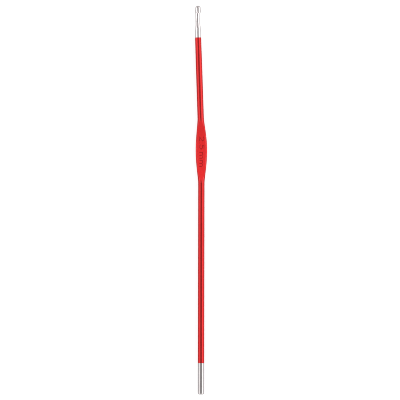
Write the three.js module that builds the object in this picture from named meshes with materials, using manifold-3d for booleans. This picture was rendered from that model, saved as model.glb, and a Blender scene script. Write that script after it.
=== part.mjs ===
// A 2.5 mm crochet hook, 152 mm (6 in) long, lying on a table with its throat and its thumb
// rest facing up. Millimetres, +X from the butt to the hook, +Z up.
//
// It is three pieces, pressed together end to end:
//   hook_head  bright metal: ball tip, lip, throat, neck, collar and a spigot
//   handle     red rod with a socket in each end and a thumb rest pressed flat in it
//   end_plug   bright metal butt with a spigot
//
// Each piece is turned about the X axis, with its rings where its shape needs them. The
// vertices of the rings are then moved, as the metal is: pressed into the throat, swollen
// where the thumb rest is pressed, and bent where the rod is set over and back.
import * as THREE from "three";
import { mergeVertices } from "three/addons/utils/BufferGeometryUtils.js";
import Module from "manifold-3d";

// ---- Driving dimensions ----

// The rod. Places on it are measured from the butt, along its axis.
const LENGTH = 152;
const HANDLE_R = 1.25;
const FRONT_R = 1.2; // where the rod meets the collar
const FRONT_TAPER = 12.5;
const PLUG_LENGTH = 12.3;
const HEAD_LENGTH = 12.5; // collar face to tip
const BUTT_EDGE_R = 0.55;
const JOINT_GAP = 0.02;

// Spigots, and the sockets they are pressed into.
const SPIGOT_R = 0.6;
const SPIGOT_LENGTH = 8;
const SPIGOT_CHAMFER = 0.15;
const SOCKET_CLEARANCE = 0.02;
const SOCKET_EXTRA_DEPTH = 0.4;

// Thumb rest: a lens in plan, with two parallel flats that run out along ramps.
const THUMB_CENTRE = 95.3;
const THUMB_HALF_LENGTH = 12.7;
const THUMB_HALF_WIDTH = 2.243;
const THUMB_HALF_THICKNESS = 0.58;
const THUMB_SIDE_HALF_HEIGHT = 0.82; // of the oval that the flats cut
const FLAT_HALF_LENGTH = 7.8; // where the flats end and the ramps begin
const PRESS_CLEARANCE = 0.02; // the pressing faces end this far off the rod

// The rod's bends in the plane of the flats, in degrees towards +Y: it is set back behind the
// head, and set over beside the thumb rest.
const BENDS = [
  { centre: LENGTH - 11.1, halfLength: 1.2, degrees: -1.86 },
  { centre: 99.4, halfLength: 5, degrees: 1.96 },
];

// Head. Places in it are measured back from the tip, and heights from its axis.
const HEAD_R = 1.15;
const COLLAR_R = 1.18;
const CHEEK_START = 1.8; // where the head begins to narrow to the neck
const LIP_SIDE = 2.25; // where the lip's edge meets the cheeks
const LIP_END = 3.08;
const LIP_R = 0.12;
const MOUTH_CENTRE = 2.55;
const MOUTH_R = 0.26;
const MOUTH_SIDE = 3.1; // where the mouth has run out on the sides
const MOUTH_REACH = 0.55; // how far up the ring there comes over to the place of its top
const THROAT_FLOOR = 0.28;
const THROAT_RISE = 3.6; // where the floor begins to climb
const NECK_START = 3.2;
const NECK_END = 6.9;
const NECK_HALF_WIDTH = 0.89;
const NECK_SIDE_HEIGHT = -0.6; // where the neck is widest
const NECK_UNDER = -1.09;
const COLLAR_START = 9.4;
const HEAD_TURN = THREE.MathUtils.degToRad(18); // the throat faces this far to the right

// Faceting. The facets lie on the outside of the true circles, and one faces straight down.
const SEGMENTS = 32;
const FACET_GROWTH = 1 / Math.cos(Math.PI / SEGMENTS);
const THUMB_RINGS = 36;
const RAMP_STEPS = 10;
const TAPER_RINGS = 5;
const EDGE_RINGS = 6;
const TIP_RINGS = 8;
const CHEEK_RINGS = 3;
const LIP_RINGS = 5;
const MOUTH_RINGS = 7;
const FLOOR_RINGS = 4;
const CLIMB_RINGS = 14;
const COLLAR_RINGS = 6;

// ---- Tools ----

const wasm = await Module();
wasm.setup();

const smooth = (low, high, x) => THREE.MathUtils.smoothstep(x, low, high);
const mix = (from, to, share) => from + (to - from) * share;
const between = (low, high, count) =>
  Array.from({ length: count + 1 }, (_, i) => mix(low, high, i / count));

// A solid turned about the X axis. The profile is [x, radius] pairs from the axis to the axis,
// in the direction of +X along its outside.
function turned(profile) {
  const points = profile.map(([x, radius]) => new THREE.Vector2(radius * FACET_GROWTH, x));
  return new THREE.LatheGeometry(points, SEGMENTS, Math.PI / SEGMENTS).rotateZ(-Math.PI / 2);
}

// Moves the vertices of a solid. move changes a point in place, and is told the vertex's v,
// which on a turned solid grows from 0 to 1 along its profile.
function reshaped(geometry, move) {
  const position = geometry.getAttribute("position");
  const uv = geometry.getAttribute("uv");
  const point = new THREE.Vector3();
  for (let i = 0; i < position.count; i += 1) {
    move(point.fromBufferAttribute(position, i), uv.getY(i));
    position.setXYZ(i, point.x, point.y, point.z);
  }
  return geometry;
}

function toManifold(geometry) {
  const bare = geometry.clone();
  bare.deleteAttribute("normal");
  bare.deleteAttribute("uv");
  const merged = mergeVertices(bare);
  const vertProperties = new Float32Array(merged.getAttribute("position").array);
  const triVerts = new Uint32Array(merged.index.array);
  return new wasm.Manifold(new wasm.Mesh({ numProp: 3, vertProperties, triVerts }));
}

function toGeometry(manifold) {
  const mesh = manifold.getMesh();
  const geometry = new THREE.BufferGeometry();
  geometry.setAttribute("position", new THREE.BufferAttribute(mesh.vertProperties, 3));
  geometry.setIndex(new THREE.BufferAttribute(mesh.triVerts, 1));
  geometry.computeVertexNormals();
  return geometry;
}

// The end of a profile: a spigot that stands out of a shoulder at x, towards +X or -X.
function spigot(x, direction) {
  const end = x + direction * SPIGOT_LENGTH;
  return [
    [x, SPIGOT_R],
    [end - direction * SPIGOT_CHAMFER, SPIGOT_R],
    [end, SPIGOT_R - SPIGOT_CHAMFER],
    [end, 0],
  ];
}

// The end of a profile: a socket that goes into an end face at x, towards +X or -X.
function socket(x, direction) {
  const radius = SPIGOT_R + SOCKET_CLEARANCE;
  const floor = x + direction * (SPIGOT_LENGTH + SOCKET_EXTRA_DEPTH);
  return [
    [x, radius],
    [floor, radius],
    [floor, 0],
  ];
}

// ---- Thumb rest and bends ----

// Swells the round rod into the oval that the press squeezes it to.
function swellThumbRest(point) {
  const from = (point.x - THUMB_CENTRE) / THUMB_HALF_LENGTH;
  const swell = Math.max(0, 1 - from ** 2) ** 1.5;
  point.y *= mix(1, THUMB_HALF_WIDTH / HANDLE_R, swell);
  point.z *= mix(1, THUMB_SIDE_HALF_HEIGHT / HANDLE_R, swell);
}

// The room between the two pressing faces: level over the flats, then ramps that rise clear
// of the rod.
function pressGap() {
  const clear = HANDLE_R * FACET_GROWTH + PRESS_CLEARANCE;
  const ramp = between(FLAT_HALF_LENGTH, THUMB_HALF_LENGTH, RAMP_STEPS).map((away) => [
    away,
    mix(THUMB_HALF_THICKNESS, clear, smooth(FLAT_HALF_LENGTH, THUMB_HALF_LENGTH, away)),
  ]);
  const face = [
    [-LENGTH, clear],
    ...ramp.map(([away, height]) => [-away, height]).reverse(),
    ...ramp,
    [LENGTH, clear],
  ].map(([away, height]) => new THREE.Vector2(THUMB_CENTRE + away, height));
  const underneath = face.map(({ x, y }) => new THREE.Vector2(x, -y)).reverse();
  const options = { depth: 4 * THUMB_HALF_WIDTH, bevelEnabled: false };
  const slab = new THREE.ExtrudeGeometry(new THREE.Shape([...face, ...underneath]), options);
  return slab.translate(0, 0, -options.depth / 2).rotateX(Math.PI / 2);
}

// Bends the rod along its arcs, and carries what lies beyond an arc round with it. The arc
// nearest the tip comes first, while the rod behind it is still straight.
function bend(point) {
  for (const { centre, halfLength, degrees } of BENDS) {
    const start = centre - halfLength;
    const run = THREE.MathUtils.clamp(point.x - start, 0, 2 * halfLength);
    const before = Math.min(point.x - start, 0);
    const beyond = point.x - start - before - run;
    const radius = (2 * halfLength) / THREE.MathUtils.degToRad(degrees);
    const turn = run / radius;
    const across = radius - point.y;
    point.x = start + before + across * Math.sin(turn) + beyond * Math.cos(turn);
    point.y = radius - across * Math.cos(turn) + beyond * Math.sin(turn);
  }
}

function handleGeometry() {
  const back = PLUG_LENGTH + JOINT_GAP;
  const front = LENGTH - HEAD_LENGTH - JOINT_GAP;
  const taperStart = front - FRONT_TAPER;
  const thumbBack = THUMB_CENTRE - THUMB_HALF_LENGTH;
  const thumbFront = THUMB_CENTRE + THUMB_HALF_LENGTH;
  const rod = turned([
    ...socket(back, 1).reverse(),
    [back, HANDLE_R],
    ...between(thumbBack, thumbFront, THUMB_RINGS).map((x) => [x, HANDLE_R]),
    ...between(taperStart, front, TAPER_RINGS).map((x) => [
      x,
      mix(HANDLE_R, FRONT_R, smooth(taperStart, front, x)),
    ]),
    ...socket(front, -1),
  ]);
  const swollen = toManifold(reshaped(reshaped(rod, swellThumbRest), bend));
  return toGeometry(swollen.intersect(toManifold(reshaped(pressGap(), bend))));
}

// ---- Butt ----

function endPlugGeometry() {
  const edge = between(0, Math.PI / 2, EDGE_RINGS).map((angle) => [
    BUTT_EDGE_R * (1 - Math.sin(angle)),
    HANDLE_R - BUTT_EDGE_R * (1 - Math.cos(angle)),
  ]);
  return turned([[0, 0], ...edge.reverse(), [PLUG_LENGTH, HANDLE_R], ...spigot(PLUG_LENGTH, 1)]);
}

// ---- Head ----

// The line that the top of the head follows, as points of [back from the tip, height]: over
// the lip, down its underside, round the end of the mouth, and along and up the throat.
function topLine() {
  const lip = new THREE.Vector2(LIP_END - LIP_R, HEAD_R - LIP_R);
  const mouth = new THREE.Vector2(MOUTH_CENTRE, THROAT_FLOOR + MOUTH_R);
  const slope = Math.atan2(lip.y - mouth.y, lip.x - mouth.x);
  const underside = slope - Math.asin((LIP_R + MOUTH_R) / lip.distanceTo(mouth));
  const arc = (centre, radius, from, to, count) =>
    between(from, to, count).map((angle) => [
      centre.x + radius * Math.cos(angle),
      centre.y + radius * Math.sin(angle),
    ]);
  const quarter = Math.PI / 2;
  return {
    cheek: between(CHEEK_START, lip.x, CHEEK_RINGS).slice(0, -1).map((back) => [back, HEAD_R]),
    lip: arc(lip, LIP_R, quarter, underside - quarter, LIP_RINGS),
    mouth: arc(mouth, MOUTH_R, underside + quarter, 3 * quarter, MOUTH_RINGS),
    floor: between(MOUTH_CENTRE, THROAT_RISE, FLOOR_RINGS).slice(1).map((back) => [back, THROAT_FLOOR]),
    climb: between(THROAT_RISE, COLLAR_START, CLIMB_RINGS).slice(1).map((back) => [
      back,
      mix(THROAT_FLOOR, COLLAR_R, smooth(THROAT_RISE, COLLAR_START, back)),
    ]),
  };
}

// The rings of the head from the cheeks to the collar. Each has the place of its sides and
// bottom, the place and height of its top, its half width, the heights of its widest line and
// of its underside, and how far up, from 0 to 1, it comes over to the place of its top.
function throatRings() {
  const line = topLine();
  const sides = [
    ...between(CHEEK_START, LIP_SIDE, line.cheek.length).slice(0, -1),
    ...between(LIP_SIDE, MOUTH_SIDE, line.lip.length + line.mouth.length - 1),
    ...between(MOUTH_SIDE, THROAT_RISE, line.floor.length).slice(1),
    ...line.climb.map(([back]) => back),
  ];
  const tops = [...line.cheek, ...line.lip, ...line.mouth, ...line.floor, ...line.climb];
  return sides.map((side, i) => {
    const narrowed = smooth(CHEEK_START, NECK_START, side);
    const widened = smooth(NECK_END, COLLAR_START, side);
    const slimmed = (head, neck) => mix(mix(head, neck, narrowed), Math.sign(head) * COLLAR_R, widened);
    return {
      side,
      top: tops[i][0],
      topHeight: tops[i][1],
      halfWidth: slimmed(HEAD_R, NECK_HALF_WIDTH),
      sideHeight: NECK_SIDE_HEIGHT * narrowed * (1 - smooth(NECK_START, COLLAR_START, side)),
      underHeight: slimmed(-HEAD_R, NECK_UNDER),
      reach: mix(1, MOUTH_REACH, smooth(LIP_SIDE, MOUTH_SIDE, side)),
    };
  });
}

function hookHeadGeometry() {
  const rings = throatRings().reverse();
  const tip = between(Math.PI / 2, 0, TIP_RINGS).map((angle) => [
    HEAD_LENGTH - HEAD_R * (1 - Math.cos(angle)),
    HEAD_R * Math.sin(angle),
  ]);
  const collar = between(0, HEAD_LENGTH - COLLAR_START, COLLAR_RINGS).slice(0, -1);
  const foot = [...spigot(0, -1).reverse(), ...collar.map((x) => [x, COLLAR_R])];
  const blank = turned([...foot, ...rings.map(({ side }) => [HEAD_LENGTH - side, 1]), ...tip]);
  const lastRing = foot.length + rings.length + tip.length - 1;
  const head = reshaped(blank, (point, v) => {
    const ring = rings[Math.round(v * lastRing) - foot.length];
    if (!ring) return;
    const up = Math.max(0, point.z);
    const rise = point.z > 0 ? ring.topHeight - ring.sideHeight : ring.sideHeight - ring.underHeight;
    point.x = HEAD_LENGTH - mix(ring.side, ring.top, Math.min(1, up / ring.reach));
    point.y *= ring.halfWidth;
    point.z = ring.sideHeight + point.z * rise;
  });
  return reshaped(head.rotateX(HEAD_TURN).translate(LENGTH - HEAD_LENGTH, 0, 0), bend);
}

// ---- Assembly ----

const bright = { color: 0xc9c4c4, roughness: 0.18, metalness: 1 };
const red = { color: 0xd0161c, roughness: 0.28, metalness: 0.85 };

function piece(name, geometry, finish) {
  const mesh = new THREE.Mesh(geometry, new THREE.MeshStandardMaterial(finish));
  mesh.name = name;
  return mesh;
}

const hook = new THREE.Group();
hook.add(
  piece("hook_head", hookHeadGeometry(), bright),
  piece("handle", handleGeometry(), red),
  piece("end_plug", endPlugGeometry(), bright),
);

// The origin is under the middle of the hook, on the surface it lies on.
const box = new THREE.Box3().setFromObject(hook, true);
const centre = box.getCenter(new THREE.Vector3());
hook.position.set(-centre.x, -centre.y, -box.min.z);

export default hook;
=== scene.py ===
"""The looks of a 2.5 mm crochet hook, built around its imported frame.

Shapes are worked out in millimetres along the straight, round rod that the hook is made
from, and then pressed, bent and moved into the frame. Each vertex keeps the place that it
had on the round rod in the attribute "rod", so that the drawn lines in the metal follow it.
"""
import math

import bmesh
import bpy
import numpy as np
from mathutils import Matrix, Vector


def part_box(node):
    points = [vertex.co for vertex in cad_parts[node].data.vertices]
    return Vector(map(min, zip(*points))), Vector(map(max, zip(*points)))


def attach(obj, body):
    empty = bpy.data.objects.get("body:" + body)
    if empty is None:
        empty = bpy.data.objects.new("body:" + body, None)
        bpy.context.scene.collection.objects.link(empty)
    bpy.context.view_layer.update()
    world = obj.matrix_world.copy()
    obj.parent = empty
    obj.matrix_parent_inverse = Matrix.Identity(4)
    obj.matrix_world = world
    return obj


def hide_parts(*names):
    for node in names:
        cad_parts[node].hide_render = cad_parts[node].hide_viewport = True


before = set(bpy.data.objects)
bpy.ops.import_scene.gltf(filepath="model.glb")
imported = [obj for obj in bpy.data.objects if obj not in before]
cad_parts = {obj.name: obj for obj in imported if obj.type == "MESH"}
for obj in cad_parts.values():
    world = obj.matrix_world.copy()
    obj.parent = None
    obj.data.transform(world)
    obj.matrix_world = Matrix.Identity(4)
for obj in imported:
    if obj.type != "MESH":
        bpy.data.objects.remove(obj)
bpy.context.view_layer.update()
MM = 0.001


# ---- Dimensions, in millimetres ----

def corners(node):
    """The lowest and the highest corner of a CAD node."""
    return [np.array(corner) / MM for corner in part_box(node)]


plug_low, plug_high = corners("end_plug")
handle_low, handle_high = corners("handle")

# The straight part of the handle sets the rod's axis.
BUTT_X = plug_low[0]
AXIS_Y = (plug_low[1] + plug_high[1]) / 2
AXIS_Z = (plug_low[2] + plug_high[2]) / 2
HANDLE_R = (plug_high[2] - plug_low[2]) / 2

# The rod. Places on it are measured from the butt, along its axis.
LENGTH = 152
JOINT_GAP = 0.02
PLUG_LENGTH = handle_low[0] - BUTT_X - JOINT_GAP
SPIGOT_LENGTH = plug_high[0] - BUTT_X - PLUG_LENGTH
HEAD_LENGTH = 12.5
FRONT_R = 1.2
FRONT_TAPER = 12.5
BUTT_EDGE_R = 0.55
SEAM_R = 0.03  # the broken edges on both sides of a joint
SPIGOT_R = 0.6
SPIGOT_CHAMFER = 0.15
SOCKET_CLEARANCE = 0.02
SOCKET_EXTRA_DEPTH = 0.4

# Thumb rest.
THUMB_CENTRE = 95.3
THUMB_HALF_LENGTH = 12.7
THUMB_HALF_WIDTH = 2.243
THUMB_HALF_THICKNESS = 0.58
THUMB_SIDE_HALF_HEIGHT = 0.82
THUMB_EASE = 1.5  # above 1, the thumb rest widens gently out of the rod
FLAT_HALF_LENGTH = 7.8
PRESS_CLEARANCE = 0.02
FLAT_EDGE_R = 0.07

# The rod's bends, as the middle and half the length of each and its degrees towards +Y: it is
# set back behind the head, and set over beside the thumb rest.
BENDS = ((LENGTH - 11.1, 1.2, -1.86), (99.4, 5, 1.96))

# Head. Places on it are measured back from the tip, and heights from the axis.
HEAD_R = 1.15
COLLAR_R = 1.18
CHEEK_START = 1.8
LIP_SIDE = 2.25  # where the sides of the ring over the lip's edge are
LIP_END = 3.08
LIP_R = 0.12
MOUTH_CENTRE = 2.55
MOUTH_R = 0.26
MOUTH_SIDE = 3.1  # where the sides of the ring at the bottom of the mouth are
MOUTH_REACH = 0.55  # the sine of the angle from which that ring is as far back as its top
THROAT_FLOOR = 0.28
THROAT_RISE = 3.6
NECK_START = 3.2
NECK_END = 6.9
NECK_HALF_WIDTH = 0.89
NECK_SIDE_HEIGHT = -0.6  # of the neck's widest line
NECK_UNDER = -1.09  # the height of the neck's underside
COLLAR_START = 9.4
HEAD_TURN = math.radians(18)

# Size mark, engraved along the front flat and read from the hook's side to the butt's.
MARK_CENTRE = THUMB_CENTRE - 0.4
MARK_ASIDE = -0.16  # the middle of its height, off the middle of the flat
MARK_HEIGHT = 1.65
MARK_STRETCH = 1.585  # how much wider than tall its characters are drawn
MARK_HALF_ZONE = 6.6  # the part of the flat that is meshed finely for it
MARK_STROKE = 0.13  # half the width of the groove's floor
MARK_WALL = 0.09
MARK_DEPTH = 0.1

# How far apart the meshes' rings are.
SHAFT_STEP = 1
BUTT_STEP = 0.5
COLLAR_STEP = 0.2
THUMB_STEP = 0.12
MARK_STEP = 0.046
HEAD_STEP = 0.05
SEAM_STEP = 0.02
BUTT_FACE_STEP = 0.12
SHOULDER_STEP = 0.1  # across the shoulders, and next to a rounded edge
HIDDEN_STEP = 2  # along the spigots and the sockets
HIDDEN_EDGE_STEP = 0.05
HIDDEN_END_STEP = 0.15

# How many columns of points go round each piece, and how many parts each arc has. In each
# quarter of the handle some columns are on its side and the others on its flat.
HEAD_COLUMNS = 144
BUTT_COLUMNS = 128
SIDE_COLUMNS = 16
FRONT_FLAT_COLUMNS = 40
BACK_FLAT_COLUMNS = 10
SEAM_PARTS = 4
BUTT_EDGE_PARTS = 20
LIP_PARTS = 14
MOUTH_PARTS = 18
TIP_PARTS = 39
BOW_PARTS = 10
TAPER_RINGS = 16

QUARTER_TURN = math.pi / 2


# ---- Curves and profiles ----

def smooth(low, high, x):
    """0 up to low, 1 from high on, and an even S between them."""
    share = np.clip((x - low) / (high - low), 0, 1)
    return share * share * (3 - 2 * share)


def mix(start, end, share):
    """start where share is 0, and end where it is 1."""
    return start + (end - start) * share


def soft_min(a, b, radius):
    """The smaller of a and b, with the corner between them rounded."""
    share = np.clip(0.5 + (b - a) / (2 * radius), 0, 1)
    return mix(b, a, share) - radius * share * (1 - share)


def line(start, end, step):
    """Points from start up to end, without end, no further apart than step."""
    start = np.array(start, float)
    end = np.array(end, float)
    count = max(1, math.ceil(np.linalg.norm(end - start) / step))
    return [mix(start, end, i / count) for i in range(count)]


def arc(centre, radius, start, end, count):
    """Points on an arc, with both ends."""
    angles = np.linspace(start, end, count + 1)
    return [np.array(centre) + radius * np.array([math.cos(a), math.sin(a)]) for a in angles]


def spigot(x, direction):
    """The end of a profile of [x, radius] points: a spigot out of a shoulder at x."""
    end = x + direction * SPIGOT_LENGTH
    chamfer = [end - direction * SPIGOT_CHAMFER, SPIGOT_R]
    nose = [end, SPIGOT_R - SPIGOT_CHAMFER]
    return [
        *line([x, SPIGOT_R], chamfer, HIDDEN_STEP),
        *line(chamfer, nose, HIDDEN_EDGE_STEP),
        *line(nose, [end, 0], HIDDEN_END_STEP),
    ]


def socket(x, direction):
    """The end of a profile: a socket into an end face at x."""
    radius = SPIGOT_R + SOCKET_CLEARANCE
    floor = x + direction * (SPIGOT_LENGTH + SOCKET_EXTRA_DEPTH)
    return [
        *line([x, radius + SEAM_R], [x + direction * SEAM_R, radius], SEAM_STEP),
        *line([x + direction * SEAM_R, radius], [floor, radius], HIDDEN_STEP),
        *line([floor, radius], [floor, 0], HIDDEN_END_STEP),
    ]


def seam_edge(x, radius, direction):
    """The broken edge between an outside of that radius and an end face at x."""
    centre = [x - direction * SEAM_R, radius - SEAM_R]
    if direction > 0:
        return arc(centre, SEAM_R, QUARTER_TURN, 0, SEAM_PARTS)
    return arc(centre, SEAM_R, math.pi, QUARTER_TURN, SEAM_PARTS)


# ---- Moving the round rod into shape ----

def swell_of(x):
    """How far the rod has widened into the thumb rest, from 0 outside it to 1 in its middle."""
    return np.clip(1 - ((x - THUMB_CENTRE) / THUMB_HALF_LENGTH) ** 2, 0, 1) ** THUMB_EASE


def flat_height(x):
    """The height of the pressing face above the axis."""
    ramp = smooth(FLAT_HALF_LENGTH, THUMB_HALF_LENGTH, np.abs(x - THUMB_CENTRE))
    return mix(THUMB_HALF_THICKNESS, HANDLE_R + PRESS_CLEARANCE, ramp)


def side_height(x):
    """Half the height of the rod's round section, before the flats are pressed into it."""
    return mix(HANDLE_R, THUMB_SIDE_HALF_HEIGHT, swell_of(x))


def bend(points, middle, half_length, degrees):
    """Bends the rod along an arc, and carries what lies beyond the arc round with it."""
    start = middle - half_length
    radius = 2 * half_length / math.radians(degrees)
    x, y, z = np.moveaxis(points, -1, 0)
    run = np.clip(x - start, 0, 2 * half_length)
    before = np.minimum(x - start, 0)
    beyond = x - start - before - run
    turn = run / radius
    across = radius - y
    return np.stack(
        [
            start + before + across * np.sin(turn) + beyond * np.cos(turn),
            radius - across * np.cos(turn) + beyond * np.sin(turn),
            z,
        ],
        axis=-1,
    )


def skin(name, rod, points, **shares):
    """A closed piece from rings of points, of which the first and the last lie on the axis.

    rod holds the same points on the round rod, and each of shares a value for each point."""
    ring_count, column_count = points.shape[:2]
    corner = np.arange(ring_count * column_count).reshape(ring_count, column_count)
    after = np.roll(corner, -1, axis=1)
    quads = np.stack([corner[:-1], after[:-1], after[1:], corner[1:]], axis=-1).reshape(-1, 4)
    for arc_of_rod in BENDS:
        points = bend(points, *arc_of_rod)
    placed = points + [BUTT_X, AXIS_Y, AXIS_Z]
    mesh = bpy.data.meshes.new(name)
    mesh.from_pydata(placed.reshape(-1, 3) * MM, [], quads.tolist())
    mesh.attributes.new("rod", "FLOAT_VECTOR", "POINT").data.foreach_set("vector", rod.ravel())
    for share, values in shares.items():
        full = np.broadcast_to(values, (ring_count, column_count)).astype(np.float32)
        mesh.attributes.new(share, "FLOAT", "POINT").data.foreach_set("value", full.ravel())
    piece = bpy.data.objects.new(name, mesh)
    bpy.context.scene.collection.objects.link(piece)
    close_ends(mesh)
    mesh.shade_smooth()
    return piece


def close_ends(mesh):
    """Merges the rings that lie on the axis into single points."""
    bm = bmesh.new()
    bm.from_mesh(mesh)
    bmesh.ops.remove_doubles(bm, verts=bm.verts, dist=1e-5 * MM)
    bmesh.ops.dissolve_degenerate(bm, edges=bm.edges, dist=1e-6 * MM)
    bmesh.ops.recalc_face_normals(bm, faces=bm.faces)
    bm.to_mesh(mesh)
    bm.free()


def turned(profile, angles):
    """Rings of points on a round rod from [x, radius] points. There is one row of angles for
    all the rings, or one for each."""
    x, radius = np.array(profile, float).T[:, :, None]
    angles = np.broadcast_to(angles, (len(profile), np.shape(angles)[-1]))
    x = np.broadcast_to(x, angles.shape)
    return np.stack([x, radius * np.cos(angles), radius * np.sin(angles)], axis=-1)


# ---- Handle ----

def mark_strokes():
    """The size mark as straight strokes [start, end], in mark heights, left to right, and its
    width."""
    def bow(x, y, radius, start, end):
        return arc([x, y], radius, math.radians(start), math.radians(end), BOW_PARTS)

    two = [*bow(0.29, 0.71, 0.29, 165, -38), [0, 0], [0.6, 0]]
    five = [[0.54, 1], [0.09, 1], [0.05, 0.57], *bow(0.27, 0.33, 0.33, 118, -145)]
    point = [[0, 0.03], [0.001, 0.03]]
    stem = [[0, 0.68], [0, 0]]
    arch = [[0, 0.4], *bow(0.22, 0.44, 0.22, 180, 0), [0.44, 0]]
    last_arch = [[0.44 + x, y] for x, y in arch]
    letter = [stem, arch, last_arch]
    layout = [([two], 0.6), ([point], 0), ([five], 0.6), (letter, 0.88), (letter, 0.88)]
    gaps = [0.3, 0.32, 0.5, 0.34, 0]
    strokes = []
    left = 0
    for (lines, width), gap in zip(layout, gaps):
        for points in lines:
            placed = [(left + x, y) for x, y in points]
            strokes += list(zip(placed[:-1], placed[1:]))
        left += width + gap
    return np.array(strokes), left


def mark_groove(x, y):
    """How deep the size mark is cut at points of the flat, from 0 to 1."""
    strokes, width = mark_strokes()
    scale = np.array([-MARK_HEIGHT * MARK_STRETCH, -MARK_HEIGHT])
    start, end = ((strokes - [width / 2, 0.5]) * scale).transpose(1, 0, 2)
    start += [MARK_CENTRE, MARK_ASIDE]
    end += [MARK_CENTRE, MARK_ASIDE]
    nearest = np.full(x.shape, np.inf)
    for (x0, y0), (x1, y1) in zip(start, end):
        length2 = (x1 - x0) ** 2 + (y1 - y0) ** 2
        along = np.clip(((x - x0) * (x1 - x0) + (y - y0) * (y1 - y0)) / length2, 0, 1)
        away = np.hypot(x - mix(x0, x1, along), y - mix(y0, y1, along))
        nearest = np.minimum(nearest, away)
    return 1 - smooth(MARK_STROKE, MARK_STROKE + MARK_WALL, nearest)


def handle_angles(x):
    """The angles of the columns round the handle at each x, closest together on the front flat."""
    widest_edge = math.radians(78)
    round_edge = math.radians(45)
    edge = np.arcsin(np.clip(flat_height(x) / side_height(x), 0, math.sin(widest_edge)))
    fade = 1 - smooth(THUMB_HALF_LENGTH, 2 * THUMB_HALF_LENGTH, np.abs(x - THUMB_CENTRE))
    edge = mix(round_edge, edge, fade)[:, None]

    def quadrant(flat_columns):
        side = edge * np.linspace(0, 1, SIDE_COLUMNS, endpoint=False)
        flat = np.arccos(np.cos(edge) * np.linspace(1, 0, flat_columns, endpoint=False))
        return np.hstack([side, flat])

    top = np.full_like(edge, QUARTER_TURN)
    front = np.hstack([quadrant(FRONT_FLAT_COLUMNS), top])
    back = np.hstack([quadrant(BACK_FLAT_COLUMNS), top])
    return np.hstack([front, math.pi - front[:, -2:0:-1], -math.pi + back, -back[:, -2:0:-1]])


def press(rod):
    """The handle's rings pressed into the thumb rest, and how far each point is pressed, cut by
    the size mark and on an edge of a flat, from 0 to 1."""
    x, y, z = np.moveaxis(rod, -1, 0)
    swell = swell_of(x)
    y = y * mix(1, THUMB_HALF_WIDTH / HANDLE_R, swell)
    z = z * mix(1, THUMB_SIDE_HALF_HEIGHT / HANDLE_R, swell)
    flat = flat_height(x)
    beyond = np.abs(z) - flat
    pressed = smooth(-FLAT_EDGE_R, FLAT_EDGE_R, beyond) * (swell > 0)
    edge = np.exp(-((beyond / FLAT_EDGE_R) ** 2)) * (swell > 0)
    groove = mark_groove(x, y) * (z > 0) * (np.abs(x - THUMB_CENTRE) < FLAT_HALF_LENGTH)
    height = np.where(swell > 0, soft_min(np.abs(z), flat, FLAT_EDGE_R), np.abs(z))
    z = np.sign(z) * height - MARK_DEPTH * groove
    return np.stack([x, y, z], axis=-1), {"pressed": pressed, "groove": groove, "edge": edge}


def make_handle():
    back = PLUG_LENGTH + JOINT_GAP
    front = LENGTH - HEAD_LENGTH - JOINT_GAP
    taper = front - FRONT_TAPER
    thumb_back = THUMB_CENTRE - THUMB_HALF_LENGTH
    thumb_front = THUMB_CENTRE + THUMB_HALF_LENGTH
    mark_back = MARK_CENTRE - MARK_HALF_ZONE
    mark_front = MARK_CENTRE + MARK_HALF_ZONE
    taper_rings = [
        [x, mix(HANDLE_R, FRONT_R, smooth(taper, front, x))]
        for x in np.linspace(taper, front - SEAM_R, TAPER_RINGS)
    ]
    profile = [
        [back + SPIGOT_LENGTH + SOCKET_EXTRA_DEPTH, 0],
        *reversed(socket(back, 1)),
        *seam_edge(back, HANDLE_R, -1),
        *line([back + SEAM_R + SHOULDER_STEP, HANDLE_R], [thumb_back, HANDLE_R], SHAFT_STEP),
        *line([thumb_back, HANDLE_R], [mark_back, HANDLE_R], THUMB_STEP),
        *line([mark_back, HANDLE_R], [mark_front, HANDLE_R], MARK_STEP),
        *line([mark_front, HANDLE_R], [thumb_front, HANDLE_R], THUMB_STEP),
        *line([thumb_front, HANDLE_R], [taper, HANDLE_R], SHAFT_STEP),
        *taper_rings,
        *seam_edge(front, FRONT_R, 1)[1:],
        *socket(front, -1),
        [front - SPIGOT_LENGTH - SOCKET_EXTRA_DEPTH, 0],
    ]
    along = np.array([x for x, _ in profile])
    rod = turned(profile, handle_angles(along))
    shaped, shares = press(rod)
    # The sockets stay round.
    in_socket = np.array([radius for _, radius in profile]) < HANDLE_R / 2
    points = np.where(in_socket[:, None, None], rod, shaped)
    return skin("handle_rod", rod, points, **shares)


# ---- Butt ----

def make_end_plug():
    columns = np.linspace(0, 2 * math.pi, BUTT_COLUMNS, endpoint=False)
    flat_r = HANDLE_R - BUTT_EDGE_R
    side_start = BUTT_EDGE_R + SHOULDER_STEP
    profile = [
        *line([0, 0], [0, flat_r], BUTT_FACE_STEP),
        *arc([BUTT_EDGE_R, flat_r], BUTT_EDGE_R, math.pi, QUARTER_TURN, BUTT_EDGE_PARTS),
        *line([side_start, HANDLE_R], [PLUG_LENGTH - 2 * SEAM_R, HANDLE_R], BUTT_STEP),
        *seam_edge(PLUG_LENGTH, HANDLE_R, 1),
        *line([PLUG_LENGTH, HANDLE_R - 2 * SEAM_R], [PLUG_LENGTH, SPIGOT_R], SHOULDER_STEP),
        *spigot(PLUG_LENGTH, 1),
        [PLUG_LENGTH + SPIGOT_LENGTH, 0],
    ]
    rod = turned(profile, columns)
    return skin("end_plug_metal", rod, rod)


# ---- Head ----

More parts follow.
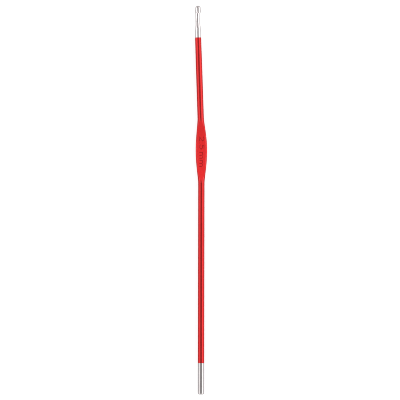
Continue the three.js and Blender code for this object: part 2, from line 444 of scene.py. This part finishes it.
def top_line(step):
    """The line over the top of the head, as [back from the tip, height] points about a step
    apart: over the lip, down its underside, round the mouth, and along and up the throat.
    Also the numbers of the points where the lip begins and where the mouth ends."""
    lip = np.array([LIP_END - LIP_R, HEAD_R - LIP_R])
    mouth = np.array([MOUTH_CENTRE, THROAT_FLOOR + MOUTH_R])
    apart = lip - mouth
    underside = math.atan2(apart[1], apart[0]) - math.asin((LIP_R + MOUTH_R) / np.hypot(*apart))
    lip_arc = arc(lip, LIP_R, QUARTER_TURN, underside - QUARTER_TURN, LIP_PARTS)
    mouth_arc = arc(mouth, MOUTH_R, underside + QUARTER_TURN, 3 * QUARTER_TURN, MOUTH_PARTS)
    cheek = line([CHEEK_START, HEAD_R], lip_arc[0], step)
    before_floor = [*cheek, *lip_arc, *line(lip_arc[-1], mouth_arc[0], step)[1:], *mouth_arc]
    floor = line(mouth_arc[-1], [THROAT_RISE, THROAT_FLOOR], step)[1:]
    climb = [
        [back, mix(THROAT_FLOOR, COLLAR_R, smooth(THROAT_RISE, COLLAR_START, back))]
        for back in np.arange(THROAT_RISE, COLLAR_START, step)
    ]
    end = [[COLLAR_START, COLLAR_R]]
    return np.array([*before_floor, *floor, *climb, *end]), len(cheek), len(before_floor) - 1


def side_places(tops, lip_start, mouth_end):
    """How far back from the tip the sides of each ring are, evened out so that no crease runs
    down them."""
    even_points = 600
    reach = 25  # how many even points to either side a place is evened out over
    travel = np.concatenate([[0], np.cumsum(np.hypot(*np.diff(tops, axis=0).T))])
    floor_end = int(np.argmin(np.abs(tops[:, 0] - THROAT_RISE)))
    knots = [0, lip_start, mouth_end, floor_end]
    places = [CHEEK_START, LIP_SIDE, MOUTH_SIDE, THROAT_RISE]
    even = np.linspace(0, travel[-1], even_points)
    side = np.interp(even, travel[knots], places)
    side = np.where(even > travel[floor_end], np.interp(even, travel, tops[:, 0]), side)
    window = np.hanning(2 * reach + 1)
    padded = np.pad(side, reach, mode="reflect", reflect_type="odd")
    evened = np.convolve(padded, window / window.sum(), mode="valid")
    return np.interp(travel, even, evened)


def throat(angles):
    """The rings of the head from the cheeks to the collar, with X from the back of the collar
    and the throat straight up, and how far back from the tip the sides of each are."""
    tops, lip_start, mouth_end = top_line(HEAD_STEP)
    side = side_places(tops, lip_start, mouth_end)[:, None]
    narrowed = smooth(CHEEK_START, NECK_START, side)
    widened = smooth(NECK_END, COLLAR_START, side)
    half_width = mix(mix(HEAD_R, NECK_HALF_WIDTH, narrowed), COLLAR_R, widened)
    under = mix(mix(-HEAD_R, NECK_UNDER, narrowed), -COLLAR_R, widened)
    middle = NECK_SIDE_HEIGHT * narrowed * (1 - smooth(NECK_START, COLLAR_START, side))
    reach = mix(1, MOUTH_REACH, smooth(LIP_SIDE, MOUTH_SIDE, side))
    up = np.sin(angles)
    rise = np.where(up > 0, tops[:, 1:] - middle, middle - under)
    back = mix(side, tops[:, :1], np.clip(up / reach, 0, 1))
    y = half_width * np.cos(angles)
    return np.stack([HEAD_LENGTH - back, y, middle + up * rise], axis=-1), side[:, 0]


def make_hook_head():
    columns = np.linspace(0, 2 * math.pi, HEAD_COLUMNS, endpoint=False)
    rings, sides = throat(columns)
    rings = rings[::-1]
    tip = [
        [HEAD_LENGTH - HEAD_R * (1 - math.cos(a)), HEAD_R * math.sin(a)]
        for a in np.linspace(QUARTER_TURN, 0, TIP_PARTS + 1)
    ]
    foot = [
        [-SPIGOT_LENGTH, 0],
        *reversed(spigot(0, -1)),
        *line([0, SPIGOT_R + HIDDEN_EDGE_STEP], [0, COLLAR_R - 2 * SEAM_R], SHOULDER_STEP),
        *seam_edge(0, COLLAR_R, -1),
        *line([2 * SEAM_R, COLLAR_R], [HEAD_LENGTH - COLLAR_START, COLLAR_R], COLLAR_STEP),
    ]
    cheeks = line([HEAD_LENGTH - CHEEK_START + HEAD_STEP, HEAD_R], tip[0], HEAD_STEP)
    nose = [*cheeks, *tip]
    body = turned([[HEAD_LENGTH - side, HEAD_R] for side in sides[::-1]], columns)
    rod = np.concatenate([turned(foot, columns), body, turned(nose, columns)])
    straight = np.concatenate([turned(foot, columns), rings, turned(nose, columns)])
    turn = np.array(Matrix.Rotation(HEAD_TURN, 3, "X"))
    place = [LENGTH - HEAD_LENGTH, 0, 0]
    return skin("hook_head_metal", rod + place, straight @ turn.T + place)


# ---- Materials ----

def new_material(name):
    material = bpy.data.materials.new(name)
    material.use_nodes = True
    tree = material.node_tree
    return material, tree, tree.nodes["Principled BSDF"]


def add(tree, kind, links=None, **settings):
    """A new node, with its settings, and inputs linked or set by number or name."""
    node = tree.nodes.new(kind)
    for key, value in settings.items():
        setattr(node, key, value)
    for key, value in (links or {}).items():
        if isinstance(value, bpy.types.NodeSocket):
            tree.links.new(value, node.inputs[key])
        else:
            node.inputs[key].default_value = value
    return node


def attribute(tree, name):
    return add(tree, "ShaderNodeAttribute", attribute_name=name)


def rod_noise(tree, stretch, detail=3.0):
    """Noise on the round rod, with that many features to a millimetre along each axis."""
    rod = attribute(tree, "rod").outputs["Vector"]
    scaled = add(tree, "ShaderNodeVectorMath", {0: rod, 1: stretch}, operation="MULTIPLY")
    inputs = {"Vector": scaled.outputs[0], "Scale": 1.0, "Detail": detail, "Roughness": 0.55}
    return add(tree, "ShaderNodeTexNoise", inputs).outputs["Fac"]


def remap(tree, value, low, high, to_low, to_high):
    """to_low where value is low or less, to_high where it is high or more, and even between."""
    inputs = {0: value, 1: low, 2: high, 3: to_low, 4: to_high}
    return add(tree, "ShaderNodeMapRange", inputs).outputs[0]


def spread(tree, noise, to_low, to_high):
    """Noise remapped so that most of it lies between two values."""
    return remap(tree, noise, 0.3, 0.7, to_low, to_high)


def hairlines(tree):
    """Sparse, thin scratches along the rod, from 0 between them to 1 in them."""
    return remap(tree, rod_noise(tree, (0.3, 30, 30), 1.0), 0.64, 0.72, 0, 1)


def maths(tree, operation, a, b):
    return add(tree, "ShaderNodeMath", {0: a, 1: b}, operation=operation).outputs[0]


def blend_colour(tree, share, a, b):
    """Colour a where share is 0, and b where it is 1."""
    node = add(tree, "ShaderNodeMix", {0: share}, data_type="RGBA")
    for socket_number, colour in ((6, a), (7, b)):
        if isinstance(colour, bpy.types.NodeSocket):
            tree.links.new(colour, node.inputs[socket_number])
        else:
            node.inputs[socket_number].default_value = (*colour, 1)
    return node.outputs[2]


def add_bumps(tree, shader, *bumps):
    """Lays bumps of (height, depth in millimetres) over each other."""
    normal = None
    for height, depth in bumps:
        inputs = {"Height": height, "Distance": depth * MM, "Strength": 1.0}
        if normal:
            inputs["Normal"] = normal
        normal = add(tree, "ShaderNodeBump", inputs).outputs["Normal"]
    tree.links.new(normal, shader.inputs["Normal"])


# The reds of the anodised skin. The clouded ones vary between two. The red for the flats' end
# towards the hook and the red in the size mark's grooves are painted shade.
CLOUDED_REDS = ((0.65, 0.022, 0.023), (0.7, 0.027, 0.028))
LINE_RED = (0.56, 0.017, 0.018)
SCRATCH_RED = (0.72, 0.05, 0.052)
CLOUDED_FLAT_REDS = ((0.96, 0.046, 0.048), (1.0, 0.05, 0.052))
FLAT_PAINTED_SHADE_RED = (0.7, 0.028, 0.03)
WORN_RED = (0.95, 0.12, 0.12)
GROOVE_SHADE_RED = (0.5, 0.012, 0.013)
RIM_TINT = (0.9, 0.25, 0.25)


def make_red_anodised():
    """Aluminium with a red dyed oxide skin: glossy and finely lined along the drawn rod, and
    matt where the dies pressed it flat."""
    material, tree, shader = new_material("anodised_skin")
    lines = rod_noise(tree, (0.05, 14, 14))
    clouds = spread(tree, rod_noise(tree, (0.12, 0.5, 0.5), 2.0), 0, 1)
    grain = rod_noise(tree, (22, 22, 22), 1.0)
    wear_spots = rod_noise(tree, (1.6, 6, 6), 4.0)
    rod = attribute(tree, "rod").outputs["Vector"]
    along = add(tree, "ShaderNodeSeparateXYZ", {0: rod}).outputs["X"]
    groove = attribute(tree, "groove").outputs["Fac"]
    edge = attribute(tree, "edge").outputs["Fac"]
    pressed = attribute(tree, "pressed").outputs["Fac"]

    in_line = remap(tree, lines, 0.35, 0.7, 0, 0.6)
    in_scratch = maths(tree, "MULTIPLY", hairlines(tree), 0.5)
    tone = blend_colour(tree, clouds, *CLOUDED_REDS)
    tone = blend_colour(tree, in_line, tone, LINE_RED)
    tone = blend_colour(tree, in_scratch, tone, SCRATCH_RED)

    # Painted shade: the flats are painted a little darker towards the hook, where less light falls
    # on them, over this length from their middle.
    half_length = 10
    back_end = THUMB_CENTRE - half_length
    front_end = THUMB_CENTRE + half_length
    painted_shade_toward_hook = remap(tree, along, back_end, front_end, 0, 0.45)
    flat_tone = blend_colour(tree, clouds, *CLOUDED_FLAT_REDS)
    flat_tone = blend_colour(tree, painted_shade_toward_hook, flat_tone, FLAT_PAINTED_SHADE_RED)

    worn = maths(tree, "MULTIPLY", edge, remap(tree, wear_spots, 0.45, 0.7, 0, 0.4))
    # Painted shade: the size mark's grooves are painted a darker red, for the shade that falls in
    # them.
    painted_groove_shade = maths(tree, "MULTIPLY", groove, 0.7)
    tone = blend_colour(tree, pressed, tone, flat_tone)
    tone = blend_colour(tree, worn, tone, WORN_RED)
    tone = blend_colour(tree, painted_groove_shade, tone, GROOVE_SHADE_RED)
    tree.links.new(tone, shader.inputs["Base Color"])

    drawn = spread(tree, lines, 0.26, 0.36)
    matt = spread(tree, grain, 0.68, 0.78)
    roughness = add(tree, "ShaderNodeMix", {0: pressed, 2: drawn, 3: matt}).outputs[0]
    tree.links.new(roughness, shader.inputs["Roughness"])
    shader.inputs["Metallic"].default_value = 1.0
    shader.inputs["Specular Tint"].default_value = (*RIM_TINT, 1)
    shader.inputs["Coat Weight"].default_value = 0.35
    shader.inputs["Coat Roughness"].default_value = 0.2
    shader.inputs["Coat IOR"].default_value = 1.5
    flat_grain = maths(tree, "MULTIPLY", grain, pressed)
    add_bumps(tree, shader, (lines, 0.003), (flat_grain, 0.003))
    return material


def make_bright_metal(name, brightness):
    """Bare aluminium, polished bright, with faint lines and scratches along the rod. brightness
    is about how much of the light it reflects, from 0 to 1."""
    material, tree, shader = new_material(name)
    metal = brightness * np.array([1, 0.93, 0.933])
    lines = rod_noise(tree, (0.1, 12, 12))
    clouds = spread(tree, rod_noise(tree, (0.4, 0.9, 0.9), 2.0), 0, 1)
    grain = rod_noise(tree, (26, 26, 26), 1.0)
    scratches = hairlines(tree)

    in_line = remap(tree, lines, 0.45, 0.8, 0, 0.3)
    tone = blend_colour(tree, clouds, 0.95 * metal, 1.05 * metal)
    tone = blend_colour(tree, in_line, tone, 0.8 * metal)
    tree.links.new(tone, shader.inputs["Base Color"])

    drawn = spread(tree, lines, 0.03, 0.08)
    scratched = maths(tree, "MULTIPLY", scratches, 0.12)
    tree.links.new(maths(tree, "ADD", drawn, scratched), shader.inputs["Roughness"])
    shader.inputs["Metallic"].default_value = 1.0
    add_bumps(tree, shader, (lines, 0.0007), (grain, 0.0002), (scratches, -0.0004))
    return material


# ---- Stage, in metres ----

def make_floor():
    """A pale floor that the metal doesn't mirror, as if the hook stood clear of it. It glows a
    little, which keeps it white."""
    half = 3.0
    corners_of_floor = [(-half, -half, 0), (half, -half, 0), (half, half, 0), (-half, half, 0)]
    mesh = bpy.data.meshes.new("floor")
    mesh.from_pydata(corners_of_floor, [], [(0, 1, 2, 3)])
    floor = bpy.data.objects.new("floor", mesh)
    bpy.context.scene.collection.objects.link(floor)
    material, _, shader = new_material("pale_floor")
    shader.inputs["Base Color"].default_value = (0.5, 0.5, 0.5, 1)
    shader.inputs["Roughness"].default_value = 0.9
    shader.inputs["Emission Color"].default_value = (1, 1, 1, 1)
    shader.inputs["Emission Strength"].default_value = 0.7
    mesh.materials.append(material)
    floor.visible_glossy = False


def add_softbox(name, side, ends, radiance, inner, outer):
    """A soft light along one side of the hook, which it faces straight across. side is +1 for
    +Y, ends are the X of its ends, and inner and outer how many degrees its edges are off
    overhead."""
    distance = 0.36
    middle = math.radians((inner + outer) / 2)
    light = bpy.data.lights.new(name, "AREA")
    light.shape = "RECTANGLE"
    light.size = ends[1] - ends[0]
    light.size_y = 2 * distance * math.tan(math.radians((outer - inner) / 2))
    light.energy = radiance * math.pi * light.size * light.size_y
    box = bpy.data.objects.new(name, light)
    away = distance * Vector((0, side * math.sin(middle), math.cos(middle)))
    box.rotation_euler = (-away).to_track_quat("-Z", "Y").to_euler()
    box.location = away + Vector(((ends[0] + ends[1]) / 2, 0, 0))
    box.visible_camera = False
    bpy.context.scene.collection.objects.link(box)


def add_softboxes():
    """Three pairs of softboxes along the hook. Each pair leaves a dark gap overhead, which the
    metal mirrors as a dark line: narrower over the front, and set to the left at the tip."""
    for place, ends, right, left in (
        ("back", (-0.5, 0.03), (1.0, 33, 71), (0.78, 32, 71)),
        ("front", (0.03, 0.18), (1.05, 27, 73), (1.2, 27, 71)),
        ("tip", (0.18, 0.34), (0.9, 15, 73), (1.1, 52, 73)),
    ):
        add_softbox("softbox_right_" + place, -1, ends, *right)
        add_softbox("softbox_left_" + place, 1, ends, *left)


def make_room():
    """A white room that is darker to the left, overhead, below and past the hook's tip, though
    less dark below where the head mirrors it."""
    world = bpy.data.worlds.new("room")
    world.use_nodes = True
    bpy.context.scene.world = world
    tree = world.node_tree
    direction = add(tree, "ShaderNodeTexCoord").outputs["Generated"]
    # A direction has parts from -1 to 1 ahead, left and up. What they turn into are strengths.
    ahead, left, up = add(tree, "ShaderNodeSeparateXYZ", {0: direction}).outputs
    walls = remap(tree, left, -0.8, 0.8, 1.0, 0.72)
    below = remap(tree, ahead, 0.062, 0.09, 0.68, 0.92)
    below_and_walls = remap(tree, up, -0.5, 0.1, below, walls)
    all_round = remap(tree, up, 0.45, 0.9, below_and_walls, 0.34)
    end_wall = remap(tree, ahead, 0.55, 0.8, 1, 0.65)
    background = tree.nodes["Background"]
    tree.links.new(maths(tree, "MULTIPLY", all_round, end_wall), background.inputs["Strength"])
    background.inputs["Color"].default_value = (1, 1, 1, 1)


def add_camera():
    """A long lens straight above the hook, with the hook's tip at the top of the picture."""
    lens = 200
    sensor = 36
    picture_height = 156.59 * MM
    distance = picture_height * lens / sensor
    aside = 0.515  # how far the picture's middle is off the handle's axis, in millimetres
    aim = Vector((0, AXIS_Y + aside, 0)) * MM
    lean = math.radians(0.1)
    data = bpy.data.cameras.new("camera")
    data.lens = lens
    data.sensor_width = sensor
    camera = bpy.data.objects.new("camera", data)
    place = Matrix.Translation(aim + Vector((0, 0, distance)))
    camera.matrix_world = place @ Matrix.Rotation(lean - QUARTER_TURN, 4, "Z")
    bpy.context.scene.collection.objects.link(camera)
    bpy.context.scene.camera = camera


# ---- Assembly ----

add_camera()
add_softboxes()
make_room()
make_floor()
bpy.context.scene.view_settings.view_transform = "Standard"
bpy.context.scene.cycles.filter_width = 1.0

# Painted light: the head's copy of the bare metal is painted lighter than the butt's, for the
# brighter light that the head mirrors.
for piece, node, material, slot in (
    (make_hook_head(), "hook_head", make_bright_metal("head_metal_painted_lighter", 0.77), "bright_metal"),
    (make_handle(), "handle", make_red_anodised(), "red_anodised"),
    (make_end_plug(), "end_plug", make_bright_metal("butt_polished", 0.63), "bright_metal"),
):
    piece.data.materials.append(material)
    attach(piece, "root")
    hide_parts(node)
